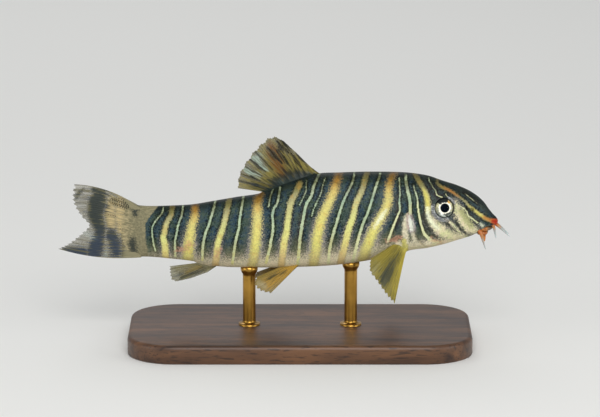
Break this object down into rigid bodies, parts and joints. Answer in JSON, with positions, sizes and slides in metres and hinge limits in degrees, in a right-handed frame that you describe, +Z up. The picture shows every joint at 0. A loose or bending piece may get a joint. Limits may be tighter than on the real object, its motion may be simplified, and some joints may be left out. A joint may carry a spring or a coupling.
{
  "type": "zebra loach",
  "caption": "Life-size zebra loach with banded flanks, spread fins and snout barbels, held level over a flat display base by short rods.",
  "frame": {"origin": "middle of the stand base's underside", "axes": "+X towards the snout, +Y to the fish's left, +Z up"},
  "size_m": [0.0844, 0.034, 0.0393],
  "materials": {
    "skin": "wet satin",
    "fin": "thin translucent web with raised rays",
    "lip": "wet satin",
    "barbel": "wet satin",
    "eye": "polished",
    "base": "oiled",
    "rod": "satin"
  },
  "bodies": {
    "root": {"head": "skin", "trunk_front": "skin", "trunk_rear": "skin", "tail_peduncle": "skin", "gill_cover_left": "skin", "gill_cover_right": "skin", "eye_left": "eye", "eye_right": "eye", "upper_lip": "lip", "lower_lip": "lip", "barbel_rostral_inner_left": "barbel", "barbel_rostral_inner_right": "barbel", "barbel_rostral_outer_left": "barbel", "barbel_rostral_outer_right": "barbel", "barbel_maxillary_left": "barbel", "barbel_maxillary_right": "barbel", "dorsal_fin": "fin", "anal_fin": "fin", "caudal_fin_upper": "fin", "caudal_fin_lower": "fin", "pectoral_fin_left": "fin", "pectoral_fin_right": "fin", "pelvic_fin_left": "fin", "pelvic_fin_right": "fin", "stand_base": "base", "stand_rod_front": "rod", "stand_rod_rear": "rod"}
  },
  "joints": []
}
